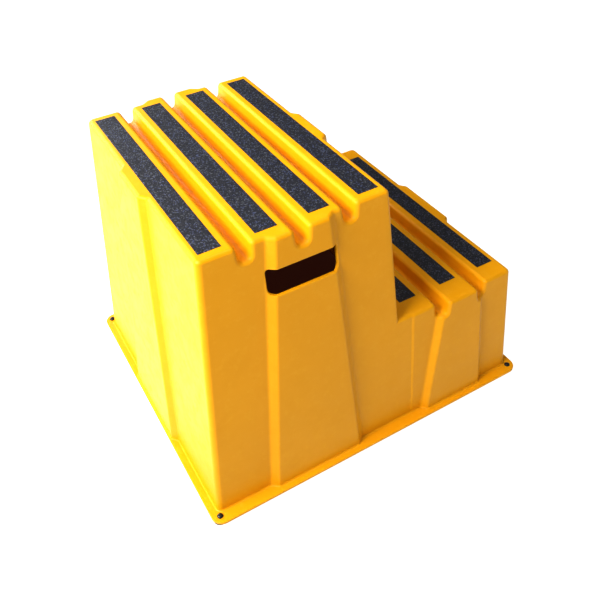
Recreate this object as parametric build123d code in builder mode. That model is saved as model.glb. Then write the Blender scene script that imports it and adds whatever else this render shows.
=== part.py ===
"""Two-step mounting block: a hollow one-piece moulded block with grip strips and push-in feet.

Millimetres, +Z up. Origin on the floor under the centre of the base.
X runs along the treads, -Y is the side with the low step, +Y is the tall back.
"""
from build123d import *
import os

os.makedirs("parts", exist_ok=True)

# ---------------------------------------------------------------- driving dimensions
LIFT = 4.0                 # the base flange stands this far off the floor on its feet
TOP_Z = LIFT + 500.0       # upper tread
LOW_Z = LIFT + 245.0       # lower tread
WALL = 5.0                 # moulded wall thickness

FLANGE_X, FLANGE_Y = 299.0, 335.0      # half lengths of the base flange
FLANGE_T, FLANGE_R = 5.0, 20.0

# upper body: half width and front/back faces at the tread, and at the floor end
UP_X_TOP, UP_X_BASE = 232.5, 277.0
UP_BACK_TOP, UP_BACK_BASE = 265.0, 321.0
UP_RISER_TOP, UP_RISER_BASE = -40.0, -74.0
# lower body
LO_X_TOP, LO_X_BASE = 257.0, 278.2
LO_FRONT_TOP, LO_FRONT_BASE = -303.5, -320.5
LO_STEP_Y = -88.0          # where the lower end wall steps in to meet the upper one

PROUD = 10.0               # how far the middle panels stand off the walls
FACET, LO_FACET = 12.5, 9.5    # width of a panel's slanted side along the wall

GROOVE_W, GROOVE_FLOOR_W, GROOVE_D, GROOVE_R = 23.0, 17.0, 27.5, 8.0
UP_GROOVES = (196.2, 112.2, 28.9)
LO_GROOVES = (-145.2, -231.6)
GROOVES = [(y, TOP_Z) for y in UP_GROOVES] + [(y, LOW_Z) for y in LO_GROOVES]

SLOT_Y0, SLOT_Y1 = 56.0, 171.0          # hand slot in each end wall
SLOT_Z0, SLOT_Z1 = LIFT + 406.0, LIFT + 449.0

STRIP_W, STRIP_T = 34.3, 0.8
UP_STRIP_L, LO_STRIP_L = 434.0, 438.0
UP_STRIPS = (238.3, 154.0, 70.4, -12.6)
LO_STRIPS = (-101.7, -188.8, -274.4)

CORNER_R = 10.0            # upright corners at the back and front
RISER_CORNER_R = 7.0       # upright corners of the riser
RISER_FOOT_R = 3.5         # where the riser meets the lower tread
WALL_FOOT_R = 4.0          # where the walls meet the base flange
INNER_R = 4.0              # inside corners of the hollow
EDGE_R = 7.0               # tread edges, groove rims and groove mouths
PANEL_R = 8.0              # the soft lines down a panel's slanted sides
SLOT_R_LOW, SLOT_R_HIGH = 9.0, 7.0      # hand slot corner radii
SLOT_RIM_R = 2.2                        # rounding of the slot's outer rim, kind to the fingers
FLANGE_EDGE_R = 1.2
STRIP_R = 1.0
FOOT_X, FOOT_BACK_Y, FOOT_FRONT_Y = 283.8, 320.9, -320.4
FEET = [(-FOOT_X, FOOT_FRONT_Y), (FOOT_X, FOOT_FRONT_Y), (-FOOT_X, FOOT_BACK_Y), (FOOT_X, FOOT_BACK_Y)]
FOOT_NAMES = ["foot_front_left", "foot_front_right", "foot_back_left", "foot_back_right"]
FOOT_PAD_R, STEM_R, TIP_R = 12.5, 3.6, 5.2


# ---------------------------------------------------------------- helpers
def mix(a, b, z, z0, z1):
    """Value at height z on a straight line from a at z0 to b at z1."""
    return a + (b - a) * (z - z0) / (z1 - z0)


def tapered(low, high, z_low, z_high):
    """A flat-faced solid between two outlines with the same number of corners."""
    lo = [Vector(x, y, z_low) for x, y in low]
    hi = [Vector(x, y, z_high) for x, y in high]
    faces = [Face(Wire.make_polygon(lo, close=True)), Face(Wire.make_polygon(hi, close=True))]
    for i in range(len(lo)):
        j = (i + 1) % len(lo)
        faces.append(Face(Wire.make_polygon([lo[i], lo[j], hi[j], hi[i]], close=True)))
    return Solid(Shell(faces))


def box_outline(x, y0, y1):
    return [(-x, y0), (x, y0), (x, y1), (-x, y1)]


def up_x(z):
    return mix(UP_X_BASE, UP_X_TOP, z, LIFT, TOP_Z)


def lo_x(z):
    return mix(LO_X_BASE, LO_X_TOP, z, LIFT, LOW_Z)


def back_y(z):
    return mix(UP_BACK_BASE, UP_BACK_TOP, z, LIFT, TOP_Z)


def riser_y(z):
    return mix(UP_RISER_BASE, UP_RISER_TOP, z, LIFT, TOP_Z)


def front_y(z):
    return mix(LO_FRONT_BASE, LO_FRONT_TOP, z, LIFT, LOW_Z)


def upper_core(t, z0, z1):
    """Upper body between two heights, its walls moved in by t."""
    def ring(z):
        return box_outline(up_x(z) - t, riser_y(z) + t, back_y(z) - t)
    return tapered(ring(z0), ring(z1), z0, z1)


def lower_core(t, z0, z1, deep):
    """Lower body between two heights, running back under the upper body to y = deep.
    Its end walls stand a little proud of the upper body's and step in just in front of the riser."""
    def ring(z):
        lx, ux, f = lo_x(z) - t, up_x(z) - t, front_y(z) + t
        step = LO_STEP_Y + 2.5 * (lx - ux)
        return [(-lx, f), (lx, f), (lx, LO_STEP_Y), (ux, step), (ux, deep),
                (-ux, deep), (-ux, step), (-lx, LO_STEP_Y)]
    return tapered(ring(z0), ring(z1), z0, z1)


def end_panel(side, wall_x, y_lo, y_hi, facet, t, z0, z1):
    """Raised middle panel of an end wall. y_lo and y_hi give its edges on the wall at a height."""
    deep = 2.2
    def ring(z):
        out = wall_x(z) + PROUD - t
        inner = out - deep * PROUD
        lo, hi = y_lo(z) + 0.5 * t, y_hi(z) - 0.5 * t
        return [(side * inner, lo + facet * (1 - deep)), (side * out, lo + facet),
                (side * out, hi - facet), (side * inner, hi - facet * (1 - deep))]
    return tapered(ring(z0), ring(z1), z0, z1)


def face_panel(side, wall_y, half, t, z0, z1):
    """Raised middle panel of the back, front or riser wall. half gives its half width on the wall."""
    deep = 2.2
    def ring(z):
        out = wall_y(z) + side * (PROUD - t)
        inner = out - side * deep * PROUD
        w = half(z) - 0.5 * t
        return [(-w - FACET * (deep - 1), inner), (-w + FACET, out),
                (w - FACET, out), (w + FACET * (deep - 1), inner)]
    return tapered(ring(z0), ring(z1), z0, z1)


def up_panel_lo(z):
    return mix(25.5, 55.5, z, LIFT, TOP_Z)


def up_panel_hi(z):
    return mix(219.0, 164.5, z, LIFT, TOP_Z)


def lo_panel_lo(z):
    return mix(-252.0, -235.6, z, LIFT, LOW_Z)


def lo_panel_hi(z):
    return mix(-106.0, -139.6, z, LIFT, LOW_Z)


def back_half(z):
    return mix(103.0, 54.0, z, LIFT, TOP_Z)


def riser_half(z):
    return mix(103.0, 54.0, z, LIFT, TOP_Z)


def front_half(z):
    return mix(102.0, 78.0, z, LIFT, LOW_Z)


def body(t, z0, up_z, lo_z):
    """All the tapered pieces of the block with their walls moved in by t."""
    pieces = [upper_core(t, z0, up_z), lower_core(t, z0, lo_z, 60.0)]
    for side in (-1, 1):
        pieces.append(end_panel(side, up_x, up_panel_lo, up_panel_hi, FACET, t, z0, up_z))
        pieces.append(end_panel(side, lo_x, lo_panel_lo, lo_panel_hi, LO_FACET, t, z0, lo_z))
    pieces.append(face_panel(1, back_y, back_half, t, z0, up_z))
    pieces.append(face_panel(-1, riser_y, riser_half, t, z0, up_z))
    pieces.append(face_panel(-1, front_y, front_half, t, z0, lo_z))
    return pieces


def groove_cut(y, top, grow):
    """Cross-section of one groove in the YZ plane; grow widens it for the inside of the shell."""
    above = 12.0
    floor = GROOVE_FLOOR_W / 2 + grow
    mouth = GROOVE_W / 2 + grow + (GROOVE_W - GROOVE_FLOOR_W) / 2 * above / GROOVE_D
    low, high = top - GROOVE_D - grow, top + above
    Polygon((y - floor, low), (y + floor, low), (y + mouth, high), (y - mouth, high), align=None)


def leaning(part):
    """Edges that climb the walls, found by their direction."""
    return part.edges().filter_by(lambda e: abs((e @ 1 - e @ 0).Z) > 0.8 * e.length)


def near(edges, spots, z_top):
    """Those edges whose upper end lies within 1 mm of one of the (x, y) spots, either way round in X."""
    kept = ShapeList()
    for e in edges:
        top = max(e @ 0, e @ 1, key=lambda v: v.Z)
        if abs(top.Z - z_top) < 1 and any(abs(abs(top.X) - x) < 1 and abs(top.Y - y) < 1 for x, y in spots):
            kept.append(e)
    return kept


def on_level(part, z, tol=0.02):
    """Edges lying flat at height z."""
    kept = ShapeList()
    for e in part.edges():
        box = e.bounding_box()
        if abs(box.min.Z - z) < tol and abs(box.max.Z - z) < tol:
            kept.append(e)
    return kept


def mouth_edges(part):
    """The U-shaped outlines where the grooves run out through the end walls."""
    kept = ShapeList()
    for e in part.edges():
        a, b, m = e @ 0, e @ 1, e @ 0.5
        runs_along = abs(a.Y - b.Y) < 1e-3 and abs(a.Z - b.Z) < 1e-3
        for y, top in GROOVES:
            if (abs(m.Y - y) < GROOVE_W / 2 + 0.1 and top - GROOVE_D - 1 < m.Z < top - 0.01
                    and abs(m.X) > 200 and not runs_along):
                kept.append(e)
    return kept


def outermost(e):
    """True for an edge on the outline of the base flange."""
    m = e @ 0.5
    corner = (abs(m.X) - FLANGE_X + FLANGE_R, abs(m.Y) - FLANGE_Y + FLANGE_R)
    return (abs(m.X) > FLANGE_X - 0.1 or abs(m.Y) > FLANGE_Y - 0.1
            or min(corner) > 0 and (corner[0] ** 2 + corner[1] ** 2) ** 0.5 > FLANGE_R - 0.1)


def is_riser_foot(e):
    """True for an edge on the line where the riser meets the lower tread."""
    return min((e @ 0).Y, (e @ 1).Y, (e @ 0.5).Y) > UP_RISER_BASE + 4


def slot_rims(part):
    """The outer outlines of the two hand slots."""
    solid = part.solids()[0]
    kept = ShapeList()
    for e in part.edges():
        box = e.bounding_box()
        if (abs(box.center().X) < 200 or box.min.Y < SLOT_Y0 - 0.5 or box.max.Y > SLOT_Y1 + 0.5
                or box.min.Z < SLOT_Z0 - 0.5 or box.max.Z > SLOT_Z1 + 0.5):
            continue
        if box.size.Y < 0.02 and box.size.Z < 0.02:
            continue
        m = e @ 0.5
        out = 0.9 if m.X > 0 else -0.9
        y = m.Y + (0.6 if m.Y > SLOT_Y1 - 10 else -0.6 if m.Y < SLOT_Y0 + 10 else 0)
        z = m.Z + (0.6 if m.Z > SLOT_Z1 - 8 else -0.6 if m.Z < SLOT_Z0 + 10 else 0)
        if solid.is_inside((m.X - out, y, z)) and not solid.is_inside((m.X + out, y, z)):
            kept.append(e)
    return kept


# ---------------------------------------------------------------- hollow inside
with BuildPart() as hollow:
    for solid in body(WALL, LIFT - 1, TOP_Z - WALL, LOW_Z - WALL):
        add(solid)
    fillet(leaning(hollow.part), INNER_R)
    for y, top in GROOVES:
        with BuildSketch(Plane.YZ) as rib:
            groove_cut(y, top, WALL)
            fillet(rib.vertices().group_by(Axis.Y)[0], GROOVE_R + WALL)
        extrude(rib.sketch, 400, both=True, mode=Mode.SUBTRACT)

# ---------------------------------------------------------------- block: one hollow moulding
with BuildPart() as block_shell:
    for solid in body(0.0, LIFT, TOP_Z, LOW_Z):
        add(solid)
    tall = leaning(block_shell.part)
    up_corners = [(UP_X_TOP, UP_BACK_TOP), (UP_X_TOP, UP_RISER_TOP)]
    corners = near(tall, up_corners, TOP_Z) + near(tall, [(LO_X_TOP, LO_FRONT_TOP)], LOW_Z)
    corner_spots = [tuple(round(c, 2) for c in (e @ 0.5)) for e in corners]
    fillet([e for e in tall if tuple(round(c, 2) for c in (e @ 0.5)) not in corner_spots], PANEL_R)
    tall = leaning(block_shell.part)
    fillet(near(tall, up_corners[:1], TOP_Z) + near(tall, [(LO_X_TOP, LO_FRONT_TOP)], LOW_Z), CORNER_R)
    fillet(near(leaning(block_shell.part), up_corners[1:], TOP_Z), RISER_CORNER_R)
    for y, top in GROOVES:
        with BuildSketch(Plane.YZ) as cut:
            groove_cut(y, top, 0.0)
            fillet(cut.vertices().group_by(Axis.Y)[0], GROOVE_R)
        extrude(cut.sketch, 400, both=True, mode=Mode.SUBTRACT)
    treads = ShapeList(on_level(block_shell.part, TOP_Z))
    treads += [e for e in on_level(block_shell.part, LOW_Z) if not is_riser_foot(e)]
    fillet(treads + mouth_edges(block_shell.part), EDGE_R)
    fillet([e for e in on_level(block_shell.part, LOW_Z) if is_riser_foot(e)], RISER_FOOT_R)
    # base flange
    with BuildSketch(Plane.XY.offset(LIFT)) as flange:
        Rectangle(2 * FLANGE_X, 2 * FLANGE_Y)
        fillet(flange.vertices(), FLANGE_R)
    extrude(flange.sketch, FLANGE_T)
    level = on_level(block_shell.part, LIFT + FLANGE_T)
    fillet([e for e in level if not outermost(e)], WALL_FOOT_R)
    fillet([e for e in on_level(block_shell.part, LIFT + FLANGE_T) if outermost(e)], FLANGE_EDGE_R)
    # hollow, hand slots and foot holes
    add(hollow.part, mode=Mode.SUBTRACT)
    for side in (-1, 1):
        with BuildSketch(Plane.YZ.offset(side * 200)) as slot:
            with Locations(((SLOT_Y0 + SLOT_Y1) / 2, (SLOT_Z0 + SLOT_Z1) / 2)):
                Rectangle(SLOT_Y1 - SLOT_Y0, SLOT_Z1 - SLOT_Z0)
            fillet(slot.vertices().group_by(Axis.Y)[0], SLOT_R_LOW)
            fillet(slot.vertices().group_by(Axis.Y)[-1], SLOT_R_HIGH)
        extrude(slot.sketch, 100 * side, mode=Mode.SUBTRACT)
    fillet(slot_rims(block_shell.part), SLOT_RIM_R)
    with BuildSketch(Plane.XY) as holes:
        for x, y in FEET:
            with Locations((x, y)):
                Circle(STEM_R + 0.2)
    extrude(holes.sketch, 3 * LIFT, mode=Mode.SUBTRACT)
block_shell.part.label = "block_shell"
print("shell", block_shell.part.is_valid, len(block_shell.part.solids()), round(block_shell.part.volume / 1000), "cm3")
export_step(block_shell.part, "parts/block_shell.step")

# ---------------------------------------------------------------- grip strips on both treads
for level, length, rows in (("upper", UP_STRIP_L, UP_STRIPS), ("lower", LO_STRIP_L, LO_STRIPS)):
    for number, y in enumerate(rows, 1):
        with BuildPart() as grip_strip:
            with BuildSketch(Plane.XY.offset(TOP_Z if level == "upper" else LOW_Z)) as outline:
                with Locations((0, y)):
                    Rectangle(length, STRIP_W)
                fillet(outline.vertices(), STRIP_R)
            extrude(outline.sketch, STRIP_T)
        grip_strip.part.label = f"{level}_grip_strip_{number}"
        export_step(grip_strip.part, f"parts/{level}_grip_strip_{number}.step")

# ---------------------------------------------------------------- push-in feet
FLANGE_TOP = LIFT + FLANGE_T
for name, (x, y) in zip(FOOT_NAMES, FEET):
    with BuildPart() as foot:
        with BuildSketch(Plane((x, y, 0), x_dir=(1, 0, 0), z_dir=(0, -1, 0))) as profile:
            with BuildLine() as outline:
                Polyline((0, 0), (FOOT_PAD_R - 1.2, 0), (FOOT_PAD_R, 1.2), (FOOT_PAD_R, LIFT), (STEM_R, LIFT),
                         (STEM_R, FLANGE_TOP), (TIP_R, FLANGE_TOP), (TIP_R, FLANGE_TOP + 0.8))
                Spline((TIP_R, FLANGE_TOP + 0.8), (TIP_R * 0.74, FLANGE_TOP + 2.9), (0, FLANGE_TOP + 3.9),
                       tangents=((0, 1), (-1, 0)))
                Line((0, FLANGE_TOP + 3.9), (0, 0))
            make_face()
        revolve(profile.sketch, Axis((x, y, 0), (0, 0, 1)))
    foot.part.label = name
    export_step(foot.part, f"parts/{name}.step")
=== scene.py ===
import bpy, bmesh, math
import numpy as np
from mathutils import Matrix, Vector


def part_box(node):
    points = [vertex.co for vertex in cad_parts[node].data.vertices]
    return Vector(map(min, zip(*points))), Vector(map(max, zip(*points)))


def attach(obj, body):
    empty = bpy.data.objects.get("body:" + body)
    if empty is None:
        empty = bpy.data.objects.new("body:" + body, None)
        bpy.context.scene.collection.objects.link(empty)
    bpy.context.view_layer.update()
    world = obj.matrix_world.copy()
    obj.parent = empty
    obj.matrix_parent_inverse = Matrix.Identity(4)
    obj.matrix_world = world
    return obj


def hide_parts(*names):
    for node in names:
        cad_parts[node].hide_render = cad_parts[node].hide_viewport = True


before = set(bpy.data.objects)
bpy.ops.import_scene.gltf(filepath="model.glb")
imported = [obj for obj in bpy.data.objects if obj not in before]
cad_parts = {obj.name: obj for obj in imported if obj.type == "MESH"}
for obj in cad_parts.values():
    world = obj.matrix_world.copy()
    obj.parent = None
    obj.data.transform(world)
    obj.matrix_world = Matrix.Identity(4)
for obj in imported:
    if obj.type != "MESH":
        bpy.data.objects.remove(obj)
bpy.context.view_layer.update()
scene = bpy.context.scene

# ------------------------------------------------------------------ camera
cam_data = bpy.data.cameras.new("camera")
cam_data.lens, cam_data.sensor_width = 40.71, 36.0
cam_data.clip_start, cam_data.clip_end = 0.05, 50.0
cam = bpy.data.objects.new("camera", cam_data)
right = Vector((-0.50234, -0.86363, -0.04242))
up = Vector((0.57129, -0.36832, 0.73346))
back = Vector((-0.64906, 0.34421, 0.67840))
rows = Matrix((right, up, back)).transposed().to_4x4()
cam.matrix_world = Matrix.Translation((-0.8902, 0.4654, 1.0542)) @ rows
scene.collection.objects.link(cam)
scene.camera = cam
scene.view_settings.view_transform = "Standard"
scene.view_settings.look = "None"
scene.view_settings.exposure = 0.0
scene.view_settings.gamma = 0.78


# ------------------------------------------------------------------ node helpers
class Tree:
    """Small helper that builds a material's nodes."""

    def __init__(self, name):
        self.mat = bpy.data.materials.new(name)
        self.mat.use_nodes = True
        self.nt = self.mat.node_tree
        self.nt.nodes.clear()
        self.out = self.nt.nodes.new("ShaderNodeOutputMaterial")
        self.bsdf = self.nt.nodes.new("ShaderNodeBsdfPrincipled")
        self.nt.links.new(self.bsdf.outputs[0], self.out.inputs["Surface"])

    def put(self, socket, value):
        if isinstance(value, bpy.types.NodeSocket):
            self.nt.links.new(value, socket)
        elif value is not None:
            if hasattr(socket.default_value, "__len__") and not hasattr(value, "__len__"):
                value = [value] * len(socket.default_value)
            if hasattr(value, "__len__") and len(value) == 3 and len(socket.default_value) == 4:
                value = (*value, 1.0)
            socket.default_value = value

    def coords(self):
        return self.nt.nodes.new("ShaderNodeTexCoord").outputs["Object"]

    def normal(self):
        return self.nt.nodes.new("ShaderNodeNewGeometry").outputs["Normal"]

    def noise(self, scale, detail=2.0, rough=0.5, vec=None, distort=0.0):
        n = self.nt.nodes.new("ShaderNodeTexNoise")
        self.put(n.inputs["Vector"], vec or self.coords())
        n.inputs["Scale"].default_value = scale
        n.inputs["Detail"].default_value = detail
        n.inputs["Roughness"].default_value = rough
        n.inputs["Distortion"].default_value = distort
        return n.outputs["Fac"]

    def voronoi(self, scale, feature="F1", out="Distance", vec=None, jitter=1.0):
        n = self.nt.nodes.new("ShaderNodeTexVoronoi")
        n.feature = feature
        self.put(n.inputs["Vector"], vec or self.coords())
        n.inputs["Scale"].default_value = scale
        n.inputs["Randomness"].default_value = jitter
        return n.outputs[out]

    def math(self, op, a, b=None, c=None, clamp=False):
        n = self.nt.nodes.new("ShaderNodeMath")
        n.operation, n.use_clamp = op, clamp
        for i, v in enumerate((a, b, c)):
            if v is not None:
                self.put(n.inputs[i], v)
        return n.outputs[0]

    def ramp(self, value, low, high, out_low=0.0, out_high=1.0, smooth=True):
        n = self.nt.nodes.new("ShaderNodeMapRange")
        n.interpolation_type = "SMOOTHSTEP" if smooth else "LINEAR"
        self.put(n.inputs["Value"], value)
        for key, v in (("From Min", low), ("From Max", high), ("To Min", out_low), ("To Max", out_high)):
            self.put(n.inputs[key], v)
        return n.outputs["Result"]

    def mix(self, fac, a, b, blend="MIX"):
        n = self.nt.nodes.new("ShaderNodeMix")
        n.data_type, n.blend_type = "RGBA", blend
        self.put(n.inputs[0], fac)
        self.put(n.inputs[6], a)
        self.put(n.inputs[7], b)
        return n.outputs[2]

    def bump(self, height, strength, distance, normal=None):
        n = self.nt.nodes.new("ShaderNodeBump")
        n.inputs["Strength"].default_value = strength
        n.inputs["Distance"].default_value = distance
        self.put(n.inputs["Height"], height)
        if normal is not None:
            self.put(n.inputs["Normal"], normal)
        return n.outputs["Normal"]

    def stretch(self, scale):
        n = self.nt.nodes.new("ShaderNodeMapping")
        n.vector_type = "POINT"
        self.nt.links.new(self.coords(), n.inputs["Vector"])
        n.inputs["Scale"].default_value = scale
        return n.outputs["Vector"]

    def ao(self, distance, inside=False, samples=6):
        n = self.nt.nodes.new("ShaderNodeAmbientOcclusion")
        n.inside, n.samples, n.only_local = inside, samples, True
        n.inputs["Distance"].default_value = distance
        return n.outputs["AO"]

    def set(self, **sockets):
        for key, v in sockets.items():
            self.put(self.bsdf.inputs[key.replace("_", " ")], v)
        return self.mat


# ------------------------------------------------------------------ materials
def shell_plastic():
    t = Tree("shell_plastic")
    broad = t.noise(5.0, 3.0, 0.55)
    patch = t.noise(38.0, 4.0, 0.6)
    colour = t.mix(t.ramp(broad, 0.35, 0.68), (0.820, 0.395, 0.003), (0.855, 0.415, 0.004))
    colour = t.mix(t.ramp(patch, 0.42, 0.75, 0.0, 0.35), colour, (0.800, 0.372, 0.003))
    # pale rubbed plastic on the outer corners
    edge = t.ramp(t.ao(0.007, inside=True, samples=5), 0.80, 0.50)
    rub = t.math("MULTIPLY", edge, t.ramp(t.noise(70.0, 5.0, 0.7), 0.50, 0.68))
    colour = t.mix(t.math("MULTIPLY", rub, 0.25), colour, (0.90, 0.52, 0.045))
    # fine straight scuffs
    scratch = t.noise(1.0, 2.0, 0.5, t.stretch((900.0, 40.0, 60.0)))
    scuff = t.math("MULTIPLY", t.ramp(scratch, 0.70, 0.78), t.ramp(t.noise(9.0, 2.0), 0.52, 0.66))
    colour = t.mix(t.math("MULTIPLY", scuff, 0.18), colour, (0.90, 0.52, 0.045))
    grain = t.noise(1500.0, 3.0, 0.6)
    peel = t.noise(260.0, 3.0, 0.55)
    wave = t.noise(13.0, 1.0, 0.4)
    n = t.bump(wave, 0.09, 0.0010)
    n = t.bump(peel, 0.05, 0.00020, n)
    n = t.bump(grain, 0.22, 0.00010, n)
    rough = t.math("ADD", t.ramp(patch, 0.3, 0.75, 0.38, 0.48), t.math("MULTIPLY", t.math("ADD", rub, scuff), 0.12))
    mat = t.set(Base_Color=colour, Roughness=rough, Normal=n)
    t.bsdf.inputs["IOR"].default_value = 1.5
    t.bsdf.inputs["Specular IOR Level"].default_value = 0.28
    return mat


def grit_strip():
    t = Tree("grit_strip")
    cell = t.voronoi(560.0, out="Color")
    sep = t.nt.nodes.new("ShaderNodeSeparateColor")
    t.nt.links.new(cell, sep.inputs[0])
    pick, hue = sep.outputs[0], sep.outputs[1]
    clump = t.noise(420.0, 3.0, 0.65)
    base = t.mix(t.ramp(clump, 0.32, 0.68), (0.003, 0.003, 0.006), (0.012, 0.014, 0.028))
    pale = t.mix(t.ramp(hue, 0.45, 0.55), (0.075, 0.095, 0.200), (0.100, 0.108, 0.125))
    colour = t.mix(t.ramp(pick, 0.72, 0.90, 0.0, 0.75), base, pale)
    glint = t.ramp(pick, 0.972, 0.98)
    colour = t.mix(t.math("MULTIPLY", glint, 0.5), colour, (0.14, 0.15, 0.19))
    bed = t.noise(2600.0, 2.0, 0.6)
    n = t.bump(t.voronoi(1250.0), 0.7, 0.00025)
    n = t.bump(bed, 0.4, 0.00010, n)
    rough = t.ramp(pick, 0.0, 1.0, 0.72, 0.50, smooth=False)
    mat = t.set(Base_Color=colour, Roughness=rough, Normal=n)
    t.bsdf.inputs["Specular IOR Level"].default_value = 0.7
    return mat


def foot_rubber():
    t = Tree("foot_rubber")
    mottled = t.noise(220.0, 4.0, 0.6)
    colour = t.mix(t.ramp(mottled, 0.35, 0.7), (0.010, 0.010, 0.011), (0.026, 0.025, 0.024))
    dust = t.ramp(t.noise(600.0, 3.0, 0.7), 0.58, 0.74, 0.0, 0.25)
    colour = t.mix(dust, colour, (0.10, 0.085, 0.065))
    n = t.bump(t.noise(1800.0, 2.0), 0.35, 0.00008)
    rough = t.ramp(mottled, 0.3, 0.7, 0.32, 0.5)
    return t.set(Base_Color=colour, Roughness=rough, Normal=n)


def floor_paint():
    """A pale light table, its glow dropping to a dim amber under the block's own footprint as painted shade for the
    hollow inside, and doubled next to and behind the block as a painted pool of light.
    """
    t = Tree("floor")
    sep = t.nt.nodes.new("ShaderNodeSeparateXYZ")
    t.nt.links.new(t.coords(), sep.inputs[0])
    # rounded rectangle just inside the flange's own outline
    qx = t.math("MAXIMUM", t.math("SUBTRACT", t.math("ABSOLUTE", sep.outputs[0]), 0.279), 0.0)
    qy = t.math("MAXIMUM", t.math("SUBTRACT", t.math("ABSOLUTE", sep.outputs[1]), 0.315), 0.0)
    reach = t.math("SQRT", t.math("ADD", t.math("MULTIPLY", qx, qx), t.math("MULTIPLY", qy, qy)))
    # painted shade: under the footprint the floor's glow is cut to a dim amber, so the block's hollow reads as
    # shaded inside
    outside_painted_shade = t.ramp(reach, 0.0115, 0.0185)
    # painted light: a patch of floor next to and behind the block glows up to twice as bright, fading out far along
    # +X, and lights the block's back like a lamp
    bright_patch_mask = t.math("MULTIPLY", t.ramp(sep.outputs[0], -0.34, 0.05), t.ramp(sep.outputs[1], 0.0, 0.45))
    far = t.ramp(sep.outputs[0], 2.6, 1.4)
    colour = t.mix(t.noise(3.0, 2.0), (0.115, 0.115, 0.115), (0.125, 0.125, 0.125))
    table = t.mix(t.math("MULTIPLY", bright_patch_mask, far), (1.0, 1.0, 1.0), (2.0, 2.0, 2.0))
    # dim amber painted shade under the footprint; outside it, the table's glow with its painted bright patch
    glow = t.mix(outside_painted_shade, (0.030, 0.007, 0.004), table)
    mat = t.set(Base_Color=colour, Roughness=0.8, Emission_Color=glow)
    t.bsdf.inputs["Emission Strength"].default_value = 1.0
    t.bsdf.inputs["Specular IOR Level"].default_value = 0.1
    return mat


PLASTIC, GRIT, RUBBER = shell_plastic(), grit_strip(), foot_rubber()


def add_piece(name, mesh, material, slot, *nodes):
    mesh.materials.clear()
    mesh.materials.append(material)
    obj = bpy.data.objects.new(name, mesh)
    scene.collection.objects.link(obj)
    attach(obj, "root")
    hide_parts(*nodes)
    return obj


# ------------------------------------------------------------------ block: the moulding as one smooth skin
def moulded_skin():
    """The moulding's surface as one welded skin, smooth over its rounded edges."""
    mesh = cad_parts["block_shell"].data.copy()
    mesh.name = "block_moulding"
    bm = bmesh.new()
    bm.from_mesh(mesh)
    bmesh.ops.remove_doubles(bm, verts=bm.verts, dist=2e-6)
    bmesh.ops.dissolve_degenerate(bm, edges=bm.edges, dist=1e-7)
    for f in bm.faces:
        f.smooth = True
    bm.to_mesh(mesh)
    bm.free()
    for name in [a.name for a in mesh.attributes if a.name == "custom_normal"]:
        mesh.attributes.remove(mesh.attributes[name])
    mesh.set_sharp_from_angle(angle=math.radians(28))
    obj = add_piece("block_moulding", mesh, PLASTIC, "shell_plastic", "block_shell")
    weight = obj.modifiers.new("even_normals", "WEIGHTED_NORMAL")
    weight.mode, weight.weight, weight.keep_sharp = "FACE_AREA", 90, True
    return obj


moulded_skin()


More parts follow.
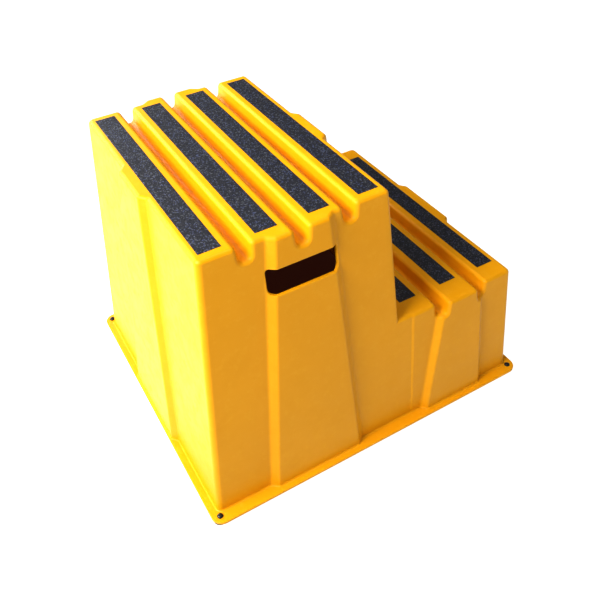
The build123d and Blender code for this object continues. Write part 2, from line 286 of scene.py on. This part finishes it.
# ------------------------------------------------------------------ grip strips: real grit on a thin film
def grit_sheet(node, seed):
    lo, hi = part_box(node)
    length, width, thick = hi.x - lo.x, hi.y - lo.y, hi.z - lo.z
    step = 0.00066
    nx, ny = int(round(length / step)) + 1, int(round(width / step)) + 1
    xs, ys = np.linspace(0.0, length, nx), np.linspace(0.0, width, ny)
    gx, gy = np.meshgrid(xs, ys, indexing="ij")
    rng = np.random.default_rng(seed)
    pitch = 0.00125
    cx, cy = int(length / pitch) + 4, int(width / pitch) + 4
    jx, jy = rng.random((cx, cy)), rng.random((cx, cy))
    size = rng.uniform(0.42, 0.95, (cx, cy)) * pitch
    tall = rng.uniform(0.25, 1.0, (cx, cy)) ** 1.3
    tilt = rng.uniform(-0.35, 0.35, (2, cx, cy))
    ix, iy = (gx / pitch).astype(int) + 1, (gy / pitch).astype(int) + 1
    rise = np.zeros_like(gx)
    for dx in (-1, 0, 1):
        for dy in (-1, 0, 1):
            a, b = np.clip(ix + dx, 0, cx - 1), np.clip(iy + dy, 0, cy - 1)
            px, py = (a - 1 + jx[a, b]) * pitch, (b - 1 + jy[a, b]) * pitch
            ux, uy = (gx - px) / size[a, b], (gy - py) / size[a, b]
            d = np.sqrt(ux * ux + uy * uy)
            bump = tall[a, b] * np.clip(1.25 - d, 0, 1) * (1 + tilt[0, a, b] * ux + tilt[1, a, b] * uy)
            rise = np.maximum(rise, bump)
    rim = np.minimum.reduce([gx, length - gx, gy, width - gy])
    film, grit = 0.42 * thick, 0.55 * thick
    z = film + grit * np.clip(rise, 0, 1.0) * np.clip(rim / 0.0011, 0, 1)
    slow = rng.normal(0, 1, (8, 3))
    wave = sum(0.012 * thick * math.copysign(1, s[0]) * np.sin(gx * (20 + 9 * k) + 6 * s[1]) for k, s in enumerate(slow))
    z = np.clip(z + wave, 0.3 * thick, 0.99 * thick)
    # tape edge: cut a little unevenly
    nudge = rng.normal(0, 1, (2, nx))
    ker = np.ones(9) / 9
    nudge = np.array([np.convolve(n, ker, mode="same") for n in nudge]) * 0.00012
    y = gy.copy()
    y[:, 0] += np.abs(nudge[0]); y[:, -1] -= np.abs(nudge[1])
    co = np.stack([gx + lo.x, y + lo.y, z + lo.z], axis=-1).reshape(-1, 3)
    top = np.arange(nx * ny).reshape(nx, ny)
    quads = np.stack([top[:-1, :-1], top[1:, :-1], top[1:, 1:], top[:-1, 1:]], axis=-1).reshape(-1, 4)
    # side walls down to the tread and a flat underside
    ring = np.concatenate([top[:, 0], top[-1, 1:], top[-2::-1, -1], top[0, -2:0:-1]])
    foot = co[ring].copy()
    foot[:, 2] = lo.z
    base = len(co)
    n = len(ring)
    down = base + np.arange(n)
    nxt = np.roll(np.arange(n), -1)
    walls = np.stack([ring, down, down[nxt], ring[nxt]], axis=-1)
    co = np.vstack([co, foot])
    mesh = bpy.data.meshes.new(node + "_grit")
    faces = [tuple(q) for q in quads.tolist()] + [tuple(q) for q in walls.tolist()] + [tuple(down[::-1].tolist())]
    mesh.from_pydata(co.tolist(), [], faces)
    mesh.validate()
    bm = bmesh.new()
    bm.from_mesh(mesh)
    bmesh.ops.recalc_face_normals(bm, faces=bm.faces)
    bm.to_mesh(mesh)
    bm.free()
    mesh.shade_smooth()
    mesh.set_sharp_from_angle(angle=math.radians(50))
    return add_piece(node + "_grit", mesh, GRIT, "grit_strip", node)


strips = sorted(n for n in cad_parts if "grip_strip" in n)
for k, node in enumerate(strips):
    grit_sheet(node, 100 + k)

# ------------------------------------------------------------------ feet keep their turned shape
for name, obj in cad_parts.items():
    if name.startswith("foot_"):
        obj.data.materials.clear()
        obj.data.materials.append(RUBBER)

# ------------------------------------------------------------------ floor and light
sheet = bpy.data.meshes.new("floor")
sheet.from_pydata([(-15, -15, 0), (15, -15, 0), (15, 15, 0), (-15, 15, 0)], [], [(0, 1, 2, 3)])
sheet.materials.append(floor_paint())
floor = bpy.data.objects.new("floor", sheet)
scene.collection.objects.link(floor)


def surround_paint():
    """Wall far behind the table, glowing pale at its foot and fading out with height: a painted glow that also
    lights the block.
    """
    t = Tree("surround")
    sep = t.nt.nodes.new("ShaderNodeSeparateXYZ")
    t.nt.links.new(t.coords(), sep.inputs[0])
    # painted light: the wall's glow, bright at its foot and fading to almost nothing with height
    wall_glow_fade = t.mix(t.ramp(sep.outputs[2], 0.1, 4.0), (0.9, 0.9, 0.9), (0.05, 0.05, 0.05))
    mat = t.set(Base_Color=t.mix(t.noise(0.5), (0.04, 0.04, 0.04), (0.05, 0.05, 0.05)), Roughness=0.9, Emission_Color=wall_glow_fade)
    t.bsdf.inputs["Emission Strength"].default_value = 1.0
    return mat


ring = bpy.data.meshes.new("surround")
turns = [2 * math.pi * k / 96 for k in range(96)]
low = [(14.6 * math.cos(a), 14.6 * math.sin(a), -0.01) for a in turns]
high = [(x, y, 4.5) for x, y, _ in low]
ring.from_pydata(low + high, [], [((k + 1) % 96, k, k + 96, (k + 1) % 96 + 96) for k in range(96)])
ring.shade_smooth()
ring.materials.append(surround_paint())
surround = bpy.data.objects.new("surround", ring)
scene.collection.objects.link(surround)


def area(name, where, target, size, power, colour=(1, 1, 1)):
    data = bpy.data.lights.new(name, "AREA")
    data.shape, data.size, data.size_y = "RECTANGLE", size[0], size[1]
    data.energy, data.color = power, colour
    obj = bpy.data.objects.new(name, data)
    obj.location = where
    obj.rotation_euler = (Vector(target) - Vector(where)).to_track_quat("-Z", "Y").to_euler()
    scene.collection.objects.link(obj)
    return obj


centre = (0.0, 0.0, 0.25)
area("key", (-0.30, 1.82, 1.95), (0.0, 0.1, 0.35), (1.6, 0.9), 100.0, (1.0, 0.985, 0.95))
area("rim", (2.4, 1.35, 1.25), (0.0, 0.1, 0.4), (2.6, 1.9), 78.0, (1.0, 0.99, 0.97))
area("top", (-0.25, -0.15, 3.0), centre, (2.2, 1.8), 29.0)
area("side", (2.9, 0.15, 1.55), (0.0, 0.1, 0.35), (1.2, 1.2), 12.0)
area("left", (-1.25, 1.55, 1.0), (-0.2, 0.25, 0.3), (0.7, 0.7), 0.8)
area("front_fill", (-0.9, -2.8, 1.55), centre, (2.0, 1.6), 5.0)

world = bpy.data.worlds.new("studio")
world.use_nodes = True
world.node_tree.nodes["Background"].inputs[0].default_value = (1.0, 1.0, 1.0, 1.0)
world.node_tree.nodes["Background"].inputs[1].default_value = 0.05
scene.world = world
